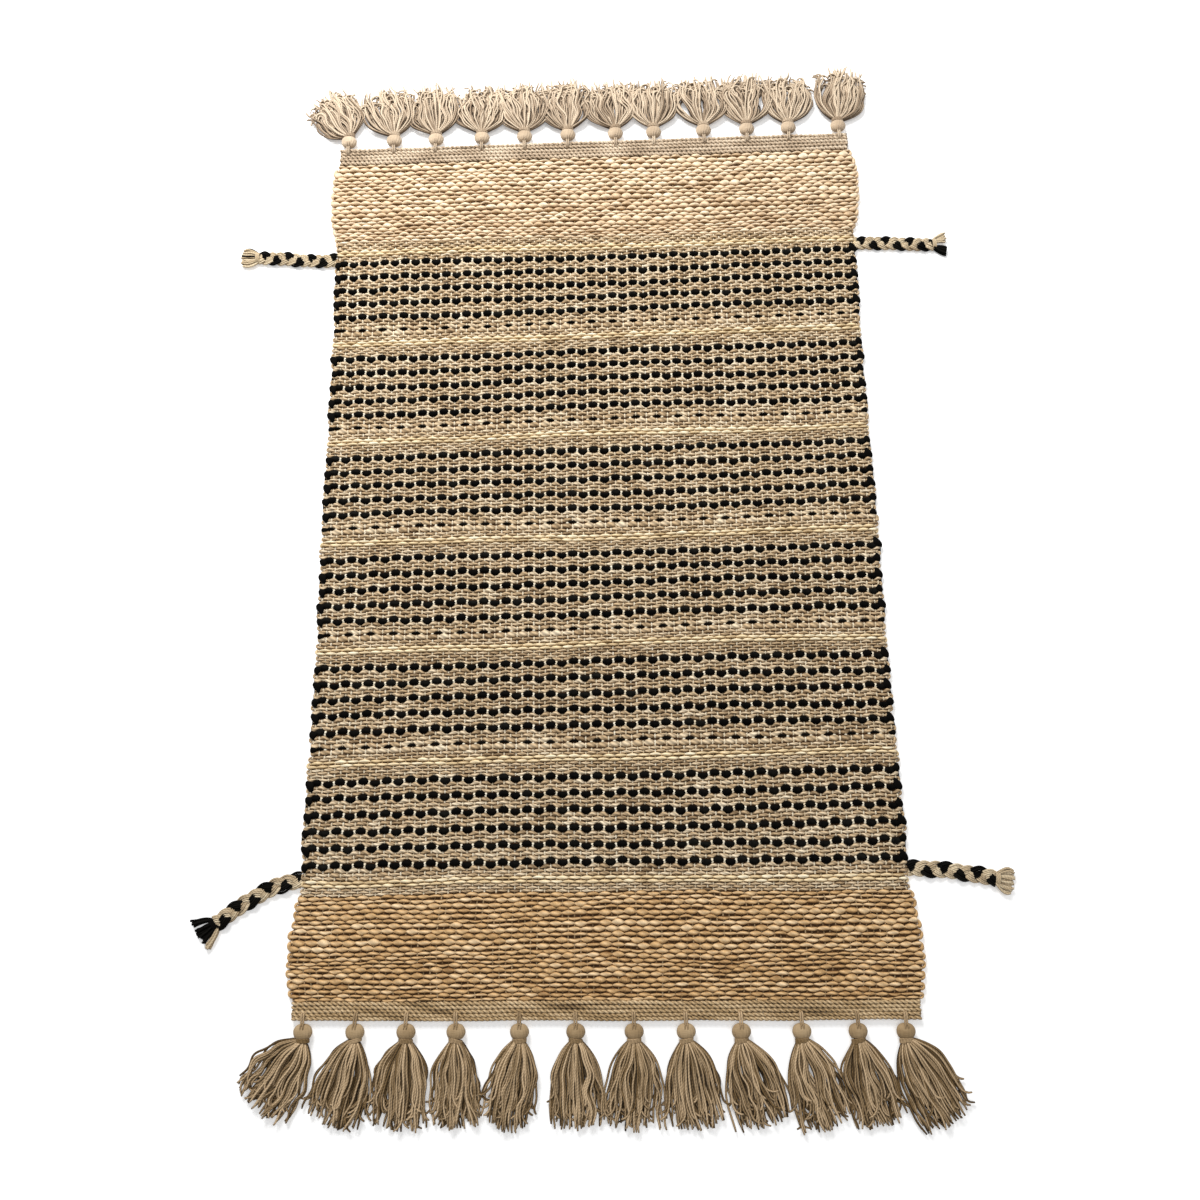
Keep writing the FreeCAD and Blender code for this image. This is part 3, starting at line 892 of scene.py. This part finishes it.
def make_weft(weft):
    pieces = []
    groups = {node: Yarns() for node, _, _ in weft.plan}
    for i, (node, _, _) in enumerate(weft.plan):
        lay_pick(weft, i, groups[node])
    lay_selvedges(weft, groups)
    for node, yarns in groups.items():
        material, slot = weft_material(node)
        pieces.append(yarns.make(f"{node}_yarn", [material], "cloth", [node], slot, settle))
    return pieces


# -------- warp

WARP_GROUPS = 5
WARP_HALF_WIDTH = 1.0
WARP_HALF_HEIGHT = 0.8
WARP_SHOW = {"band": -0.9, "stripe": -0.6, "ground": 0.6, "black": 1.4}  # its middle over the notch
BLACK_ROW_WARP = 1.4  # how much wider a warp thread is where it passes over a black row
WARP_TONE = {"band": 0.12, "stripe": 0.3, "ground": 0.66, "black": 0.8}  # its tone in each kind of row: darker the deeper it lies among the picks
WARP_HOLD = 0.2  # of a pick's size, how long it stays up or down to each side
BLACK_HOLD = {"over": 0.36, "under": 0.5}
WARP_INSET = 1.5  # its ends from the cloth's
WARP_END_LEVEL = 4.0
WARP_END_TONE = 0.4


def warp_line(weft, thread):
    """A warp thread from header to header: over one pick and under the next."""
    x = thread * WARP_PITCH
    ys, zs = [FAR_EDGE - WARP_INSET, weft.levels[0] + 3], [WARP_END_LEVEL] * 2
    tones, widths = [WARP_END_TONE] * 2, [1.0] * 2
    for i, (_, kind, _) in enumerate(weft.plan):
        above, below = weft.level(i, x), weft.level(i + 1, x)
        over = (thread + i) % 2 == 1
        high = THICKNESS[kind] - NOTCH[kind] + WARP_SHOW[kind]
        low = NOTCH[kind] - WARP_SHOW[kind]
        hold = BLACK_HOLD["over" if over else "under"] if kind == "black" else WARP_HOLD
        for share in (0.5 - hold, 0.5 + hold):
            ys.append(above + (below - above) * share)
            zs.append(high if over else low)
            tones.append(WARP_TONE[kind])
            widths.append(BLACK_ROW_WARP if over and kind == "black" else 1.0)
    ys = np.array(ys + [weft.levels[-1] - 3, NEAR_EDGE + WARP_INSET], float)
    zs += [WARP_END_LEVEL] * 2
    xs = x * warp_scale(ys) + 0.25 * np.sin(ys / 11 + thread)
    line = np.stack([xs, ys + rise(ys) * xs, zs], -1)
    return line, np.array(tones + [WARP_END_TONE] * 2), np.array(widths + [1.0] * 2)


def make_warp(weft):
    pieces = []
    for number, group in enumerate(np.array_split(all_threads(), WARP_GROUPS), 1):
        yarns = Yarns()
        for thread in group:
            line, tone, width = warp_line(weft, thread)
            tone = tone + 0.08 * rng.normal() + 0.1 * np.sin(line[:, 1] / 17 + thread)
            yarns.add(line, WARP_HALF_WIDTH * width, WARP_HALF_HEIGHT, tone, sides=6)
        name = f"warp_threads_{number}"
        pieces.append(yarns.make(name, [WARP], "cloth", ["warp_threads"], "warp_cotton", settle))
    return pieces


# -------- headers

TWINE_PERIOD = 11.0
TWINE_SWING = 0.26  # of a row's height
TWINE_HALF = 0.38  # of a row's height
TWINE_HALF_HEIGHT = 1.9
TWINE_LEVEL = 4
TWINE_LIFT = 1.4


def make_header(end):
    """Twined rows: two cords wound about each other along each row."""
    yarns = Yarns()
    size = HEADER_ROW[end]
    edge = FAR_EDGE if end == "far" else NEAR_EDGE + HEADER_ROWS * size
    for row in range(HEADER_ROWS):
        y = edge - (row + 0.5) * size
        half = float(half_width(y)) - 0.5
        x = np.arange(-half, half, TWINE_PERIOD / 10)
        wave = y + 0.3 * RIPPLE(x * 1.3, y * 2)
        shift = rng.uniform(0, TURN)
        for cord in (0, math.pi):
            phase = TURN * x / TWINE_PERIOD * (1 + 0.0006 * row) + shift + cord
            across = wave + size * TWINE_SWING * np.cos(phase)
            line = np.stack([x, across + rise(y) * x, TWINE_LEVEL + TWINE_LIFT * np.sin(phase)], -1)
            bead = np.abs(np.sin(phase))
            # bead paints each cord lighter where it rides up on its crest and darker at the row's edges,
            # where it sinks between rows: painted highlight and painted shade
            tone = 0.4 + 0.06 * rng.normal() + 0.12 * TONE_NOISE(x / 2, y * 3) + 0.2 * bead
            half_w = size * (TWINE_HALF + 0.05 * bead)
            # its flanks are painted darker: painted shade between the cords
            yarns.add(line, half_w, TWINE_HALF_HEIGHT, tone, recess=0.9)
    name = f"header_{end}_twining"
    return yarns.make(name, [HEADER[end]], "cloth", [f"header_{end}"], "header_cotton", settle)


# -------- tassels and their loops

LOOP_CORD = 0.95
LOOP_LEG_X = 1.05
LOOP_LEG_IN = 8.5
JOINT_PLACES = {joint["child"]: joint["pos_m"] for joint in frame["joints"]}
TASSEL_LEAN = {
    "far": (-36, -16, -8, 0, -6, -10, -8, 0, 0, 0, 2, 14),
    "near": (-42, -20, -9, 2, -14, 1, -5, 10, 20, 22, 18, 38),
}
TASSEL_REACH = {"far": 84.5, "near": 92.5}  # from the hinge to the tips
HEAD_START = -0.4
HEAD_HALF = (8.8, 7.6, 5.6)  # across, along and up
HEAD_RIBS = 16
HEAD_SIDES = 56
NECK_START = 13.5
NECK_TURNS = 3.2
NECK_HALF = (6.2, 4.1)  # across and up
NECK_CORD = 0.85
NECK_PITCH = 1.15
EYE_CORD = 0.7
SKIRT_START = 15.5
STRANDS = {"far": 128, "near": 116}
STRAND_HALF = 1.08
LOCKS = 13  # strands gather in locks
CURL_SHARE = {"far": 0.8, "near": 0.5}  # of the strands that curl at the tip
CURL = {"far": (4.5, 3.0), "near": (10.0, 1.5)}  # radius in mm, and the most it turns in radians
PALE_TIPS = {"far": 0.35, "near": 0.1}  # how much lighter the strands are at their tips
WIDEST_SKIRT = {"far": 62.0, "near": 57.0}
SKIRT_OVERLAP = {"far": 17.0, "near": 5.0}  # how far neighbours' skirts reach into each other
STRAND_POINTS = 26
STATIONS = (0, 0.15, 0.5, 1)  # along a skirt, for the next two
SKIRT_LEVEL = (5.4, 6.2, 6.2, 4.6)
SKIRT_PILE = (3.4, 4.9, 5.2, 3.8)  # how far its strands lie over and under that
FLARE = {"far": 4.6, "near": 3.2}  # more is a skirt that opens sooner
WILDNESS = {"far": 1.5, "near": 1.0}
REACH_SHARE = {
    "far": (0.86, 0.96, 1, 0.97, 0.98, 1.03, 0.97, 0.98, 1, 1, 0.98, 1.04),
    "near": (0.80, 0.97, 1, 0.99, 1.01, 1, 1.01, 1, 0.98, 1, 1, 0.95),
}
OUTWARD = {"far": 1, "near": -1}


def joint_place(body):
    return np.array(JOINT_PLACES[body]) / MM


def tassel_body(end, index):
    return f"tassel_{end}_{index + 1:02d}"


def make_loops(end):
    """The cream cord loops on the header's edge that the tassels hang on."""
    yarns = Yarns()
    out = OUTWARD[end]
    for index in range(len(TASSEL_LEAN[end])):
        root = joint_place(tassel_body(end, index))
        reach = LOOP_LEG_IN + 2.8
        turn = np.linspace(-math.pi / 2, math.pi / 2, 9)
        inward = np.linspace(1, 0, 7)[:-1]
        side_x = np.concatenate([-np.ones(6), np.sin(turn), np.ones(6)]) * LOOP_LEG_X
        along = np.concatenate([-inward * reach, 1.2 * np.cos(turn) - 0.4, -inward[::-1] * reach])
        z = np.concatenate([[4.5, 7.8], np.full(len(side_x) - 4, 8.9), [7.8, 4.5]])
        sway = rng.normal(0, 0.5)
        line = np.stack([root[0] + side_x + sway * along / reach, root[1] + out * along, z], -1)
        yarns.add(line, LOOP_CORD, LOOP_CORD, 0.8 + 0.06 * rng.normal(), sides=7)
    node = f"tassel_loops_{end}"
    return yarns.make(f"{node}_cord", [TASSEL[end]], "cloth", [node], "warp_cotton")


def ball(root, out, twist):
    """A tassel's head: an oval ball, as rings from its top to its neck."""
    share = np.linspace(-0.97, 0.8, 18)
    fullness = np.sqrt(1 - share**2) ** 0.8
    around = np.linspace(0, TURN, HEAD_SIDES + 1)[:-1]
    rib = 0.05 * np.cos(HEAD_RIBS * around + twist * share[:, None])
    lump = 0.012 * np.cos(5 * around + 3 * share[:, None])
    width, length, height = HEAD_HALF
    size = fullness[:, None] * (1 + rib + lump)
    x = size * width * np.cos(around)
    z = size * height * np.sin(around) + height + 0.1
    y = np.repeat((HEAD_START + length * (1 + share))[:, None], len(around), 1)
    return np.stack([root[0] + x, root[1] + out * y, z], -1)


def add_rings(yarns, rings, tone, slot=0):
    """A closed tube given by its rings of points."""
    n, sides, _ = rings.shape
    yarns.add(rings.mean(1), 1.0, 1.0, tone, sides=sides, slot=slot)
    yarns.points[-1] = rings.reshape(-1, 3)


def make_head(end, index):
    """Head, neck wrap and the eye that holds the loop."""
    out = OUTWARD[end]
    body = tassel_body(end, index)
    root = joint_place(body)
    yarns = Yarns()
    rings = ball(root, out, rng.uniform(1, 3))
    if out > 0:
        rings = rings[:, ::-1]
    tone = 0.5 + 0.06 * rng.normal() + 0.05 * np.sin(np.linspace(0, 5, len(rings)))
    add_rings(yarns, rings, tone, slot=1)
    tilt = rng.normal(0, 0.7)
    start = np.array([root[0], root[1] + out * NECK_START, HEAD_HALF[2]])
    make_windings(yarns, start, (0, out, 0), NECK_TURNS, *NECK_HALF, NECK_CORD, NECK_PITCH, tilt)
    t = np.linspace(0, math.pi, 9)
    for side in (-0.9, 0.9):
        along = np.concatenate([[6.0, 3.5], 1.2 - 2.0 * np.sin(t), [3.0]])
        z = np.concatenate([[9.6, 10.9], 8.9 + 2.1 * np.cos(t), [6.4]])
        x = np.linspace(root[0] + side * 1.4, root[0] + side, len(along))
        line = np.stack([x, root[1] + out * along, z], -1)
        yarns.add(line, EYE_CORD, EYE_CORD, 0.7, sides=6, up=(1, 0, 0))
    return yarns.make(f"{body}_head", [TASSEL[end], TASSEL_HEAD[end]], body, [body], "tassel_cotton")


def skirt_half_width(end, index):
    joints = [joint_place(tassel_body(end, i))[0] for i in range(len(TASSEL_LEAN[end]))]
    tips = np.array(joints) + TASSEL_LEAN[end]
    gaps = [abs(tips[index] - tips[i]) for i in (index - 1, index + 1) if 0 <= i < len(tips)]
    return min(min(gaps) + SKIRT_OVERLAP[end], WIDEST_SKIRT[end]) / 2


def skirt_spine(end, index, t):
    """The middle of a skirt from its neck to its tips, and its direction, seen from above."""
    lean = TASSEL_LEAN[end][index]
    reach = TASSEL_REACH[end] * REACH_SHARE[end][index]
    start = np.array([0.0, SKIRT_START])
    tip = np.array([lean, reach])
    bend = np.array([lean * 0.36, SKIRT_START + (reach - SKIRT_START) * 0.42])
    t = t[:, None]
    spine = (1 - t) ** 2 * start + 2 * t * (1 - t) * bend + t**2 * tip
    ahead = 2 * (1 - t) * (bend - start) + 2 * t * (tip - bend)
    return spine, unit(ahead)


def make_locks(half):
    """How each lock of a skirt strays: (shift, slow wave, quick wave)."""
    locks = []
    for _ in range(LOCKS):
        slow = (rng.uniform(0.5, 1.1), rng.normal() * 2.4, rng.uniform(0, 6))
        quick = (rng.uniform(1.4, 2.6), rng.normal() * 1.1, rng.uniform(0, 6))
        locks.append((rng.normal(0, 0.09) * half, slow, quick))
    return locks


def curl_tip(line, t, radius, turn):
    """Bends a strand's last part round in an arc, either way."""
    start = int(len(t) * rng.uniform(0.62, 0.85))
    heading = unit(line[start] - line[start - 1])
    beside = np.array([heading[1], -heading[0]]) * rng.choice((-1, 1))
    angle = rng.uniform(0.5, 1.0) * turn * (t[start:] - t[start]) / (1 - t[start])
    bend = rng.uniform(0.7, 1.3) * radius
    line[start:] = line[start] + np.outer(bend * np.sin(angle), heading)
    line[start:] += np.outer(bend * (1 - np.cos(angle)), beside)


def strand_line(end, index, half, u, v, lock):
    """One strand of a skirt, from the neck to its tip, as (across, along, up)."""
    whole = rng.uniform(0.9, 1.03) * (1 - 0.07 * u * u)
    t = np.linspace(0, 1, STRAND_POINTS)
    spine, ahead = skirt_spine(end, index, (t * whole).clip(0, 1))
    spine = spine + ahead * (t * whole - 1).clip(0)[:, None] * 70
    flare = 1 - (1 - t) ** FLARE[end]
    if end == "far":
        flare = flare * (1.1 - 0.22 * t**2)
    shift, slow, quick = lock
    shift = shift * (0.7 if v > 0 else 0.25)
    lateral = u * NECK_HALF[0] * 0.85 * (1 - flare) + (u * half + shift + rng.normal(0, 1.3) * t) * flare
    loose = np.sin(math.pi * t / 2) ** 0.8
    own = (rng.uniform(1.5, 3.6), rng.normal() * 0.7, rng.uniform(0, 6))
    for waves, size, phase in (slow, quick, own):
        lateral = lateral + WILDNESS[end] * size * loose * np.sin(TURN * waves * t + phase)
    ripple = np.sin(TURN * rng.uniform(0.6, 1.6) * t + rng.uniform(0, 6))
    up = np.interp(t, STATIONS, SKIRT_LEVEL) + np.interp(t, STATIONS, SKIRT_PILE) * v + 0.6 * loose * ripple
    line = spine + np.stack([ahead[:, 1], -ahead[:, 0]], -1) * lateral[:, None]
    if rng.uniform() < CURL_SHARE[end]:
        curl_tip(line, t, *CURL[end])
    return np.column_stack([line, up.clip(1.0, 12.2)])


def make_skirt(end, index):
    """A skirt of plied strands, layer on layer."""
    out = OUTWARD[end]
    body = tassel_body(end, index)
    root = joint_place(body)
    half = skirt_half_width(end, index)
    locks = make_locks(half)
    yarns = Yarns()
    count = STRANDS[end]
    for i in range(count):
        radius = ((i + 0.5) / count) ** 0.6
        angle = i * math.pi * (3 - math.sqrt(5)) + rng.normal(0, 0.1)
        u, v = radius * math.cos(angle), radius * math.sin(angle)
        lock = locks[int((u + 1) / 2 * (LOCKS // 2)) + (LOCKS // 2) * int(v > 0)]
        local = strand_line(end, index, half, u, v, lock)
        line = np.stack([root[0] + local[:, 0], root[1] + out * local[:, 1], local[:, 2]], -1)
        # 0.32 * v paints the strands lower in the pile darker and those on top lighter: painted shade under
        # the upper strands
        tone = 0.5 + 0.16 * rng.normal() + 0.32 * v + 0.06 * np.sin(local[:, 1] / 9 + i)
        tone = tone + PALE_TIPS[end] * np.linspace(0, 1, len(line)) ** 3
        taper = np.interp(np.linspace(0, 1, len(line)), (0, 0.94, 1), (1, 1, 0.7))
        # their flanks are painted darker: painted shade between the strands
        yarns.add(line, STRAND_HALF * taper, STRAND_HALF * taper, tone, sides=6, recess=0.7)
    return yarns.make(f"{body}_skirt", [TASSEL[end]], body, [body], "tassel_cotton")


def make_tassels():
    for end in OUTWARD:
        for index in range(len(TASSEL_LEAN[end])):
            make_head(end, index)
            make_skirt(end, index)


# -------- painted shade in the cloth's gaps

GAP_SHADE_LEVELS = (2.9, 3.9)
GAP_SHADE_GRID = (180, 90)  # points along and across


def make_gap_shade():
    """A dark sheet through the cloth's middle, which closes the gaps between the yarns and shows in them as
    painted shade.
    """
    ys = np.linspace(NEAR_EDGE + WARP_INSET, FAR_EDGE - WARP_INSET, GAP_SHADE_GRID[0])
    shares = np.linspace(-1, 1, GAP_SHADE_GRID[1])
    half = WARP_REACH * warp_scale(ys) - 2
    x = half[:, None] * shares
    y = ys[:, None] + rise(ys)[:, None] * x
    low, top = [np.stack([x, y, np.full_like(x, level)], -1) for level in GAP_SHADE_LEVELS]
    yarns = Yarns()
    add_rings(yarns, np.concatenate([top, low[:, ::-1]], 1)[::-1, ::-1], 0.5)
    return yarns.make("cloth_gap_shade", [GAP_SHADE], "cloth", (), "ground_cotton", settle)


# -------- floor and light

FLOOR_REACH = 4.0  # metres, as all places and sizes here
FLOOR_LOOK = {
    "Base Color": (0.9, 0.9, 0.9, 1),
    "Roughness": 0.9,
    "Emission Color": (1, 1, 1, 1),
    "Emission Strength": 0.3,
}
WORLD_STRENGTH = 0.32


def make_floor():
    mesh = bpy.data.meshes.new("floor")
    r = FLOOR_REACH
    mesh.from_pydata([(-r, -r, 0), (r, -r, 0), (r, r, 0), (-r, r, 0)], [], [(0, 1, 2, 3)])
    material = bpy.data.materials.new("floor")
    material.use_nodes = True
    shader = material.node_tree.nodes["Principled BSDF"]
    for name, value in FLOOR_LOOK.items():
        shader.inputs[name].default_value = value
    mesh.materials.append(material)
    add_object("floor", mesh)


def make_lamp(name, place, target, size, energy):
    data = bpy.data.lights.new(name, "AREA")
    data.shape = "DISK"
    data.size = size
    data.energy = energy
    lamp = add_object(name, data)
    lamp.location = place
    lamp.rotation_euler = (Vector(target) - Vector(place)).to_track_quat("-Z", "Y").to_euler()


def make_lights():
    make_lamp("far_softbox", (-0.5, 1.25, 1.25), (0, 0.05, 0), 0.9, 42)
    make_lamp("top_softbox", (0.5, 0.0, 2.4), (0, 0, 0), 1.6, 16)
    world = bpy.data.worlds.new("studio")
    world.use_nodes = True
    background = world.node_tree.nodes["Background"]
    background.inputs[0].default_value = (1, 1, 1, 1)
    background.inputs[1].default_value = WORLD_STRENGTH
    bpy.context.scene.world = world
    bpy.context.scene.view_settings.view_transform = "Standard"


# -------- the rug


def make_rug():
    weft = Weft(pick_plan())
    cloth = make_weft(weft) + make_warp(weft)
    for end in OUTWARD:
        cloth.append(make_header(end))
        cloth.append(make_loops(end))
    gap_shade = make_gap_shade()
    make_tassels()


make_rug()
make_floor()
make_lights()
